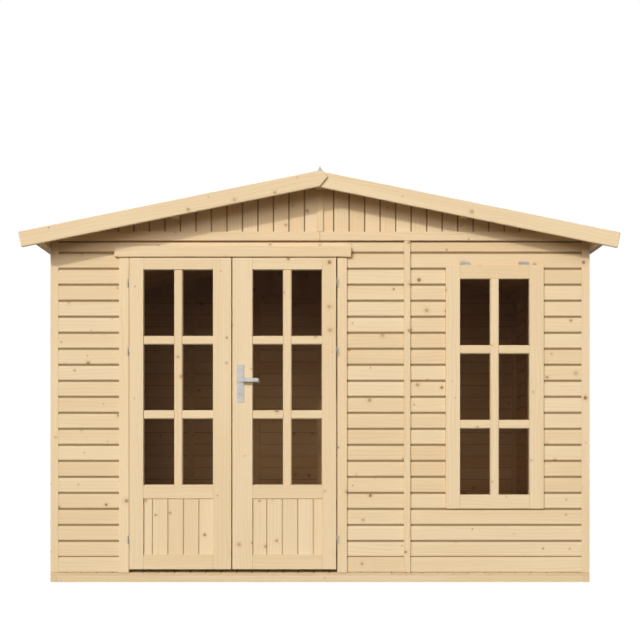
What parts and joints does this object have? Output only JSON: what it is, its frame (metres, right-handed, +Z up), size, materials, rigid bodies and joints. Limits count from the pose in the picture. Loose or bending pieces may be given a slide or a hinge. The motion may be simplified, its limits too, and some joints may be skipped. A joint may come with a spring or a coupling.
{
  "type": "garden shed",
  "caption": "Timber garden shed with a low gable roof of hexagonal shingles, glazed double doors left of centre and a tall window at the right.",
  "frame": {"origin": "on the ground under the middle of the building", "axes": "+X to the right along the front, seen from in front; +Y from the front to the back; +Z up"},
  "size_m": [3.256, 2.482, 2.2854],
  "materials": {
    "spruce_boards": "planed, untreated",
    "spruce_frame": "planed, untreated",
    "floor_boards": "planed, untreated",
    "treated_timber": "sawn",
    "bitumen_shingles": "mineral granules",
    "glass": "clear",
    "zinc_steel": "zinc plated",
    "satin_aluminium": "satin anodised"
  },
  "bodies": {
    "building": {"side_bearers": "treated_timber", "cross_bearers": "treated_timber", "floor_deck": "floor_boards", "front_wall_left": "spruce_boards", "front_wall_head": "spruce_boards", "front_wall_middle": "spruce_boards", "front_wall_window": "spruce_boards", "left_wall": "spruce_boards", "right_wall": "spruce_boards", "back_wall": "spruce_boards", "corner_posts": "spruce_frame", "wall_studs": "spruce_frame", "wall_plates": "spruce_frame", "joint_battens": "spruce_frame", "door_jambs": "spruce_frame", "door_lintel": "spruce_frame", "window_sash": "spruce_frame", "window_glass": "glass", "window_hinges": "zinc_steel", "gable_front": "spruce_boards", "gable_back": "spruce_boards", "gable_beams": "spruce_frame", "gable_battens": "spruce_frame", "purlins": "spruce_frame", "eave_battens": "spruce_frame", "roof_deck_left": "spruce_boards", "roof_deck_right": "spruce_boards", "shingles_left": "bitumen_shingles", "shingles_right": "bitumen_shingles", "ridge_cap": "bitumen_shingles", "bargeboard_front_left": "spruce_frame", "bargeboard_front_right": "spruce_frame", "bargeboard_back_left": "spruce_frame", "bargeboard_back_right": "spruce_frame", "jamb_hinges": "zinc_steel"},
    "left_door": {"left_door_frame": "spruce_frame", "left_door_panel": "spruce_boards", "left_door_glass": "glass", "left_door_hinges": "zinc_steel"},
    "right_door": {"right_door_frame": "spruce_frame", "right_door_panel": "spruce_boards", "right_door_glass": "glass", "right_door_hinges": "zinc_steel", "handle_plates": "satin_aluminium"},
    "lever": {"lever_handle": "satin_aluminium"}
  },
  "joints": [
    {"name": "left_door_hinge", "type": "hinge", "parent": "building", "child": "left_door", "pos_m": [-1.075, -1.036, 0.95], "axis": [0, 0, -1], "range_deg": [0, 110]},
    {"name": "right_door_hinge", "type": "hinge", "parent": "building", "child": "right_door", "pos_m": [0.1, -1.036, 0.95], "axis": [0, 0, 1], "range_deg": [0, 110]},
    {"name": "lever_turn", "type": "hinge", "parent": "right_door", "child": "lever", "pos_m": [-0.4445, -1.031, 1.131], "axis": [0, 1, 0], "range_deg": [0, 35], "stiffness_Nm_per_rad": 2, "springref_deg": -20.05}
  ]
}
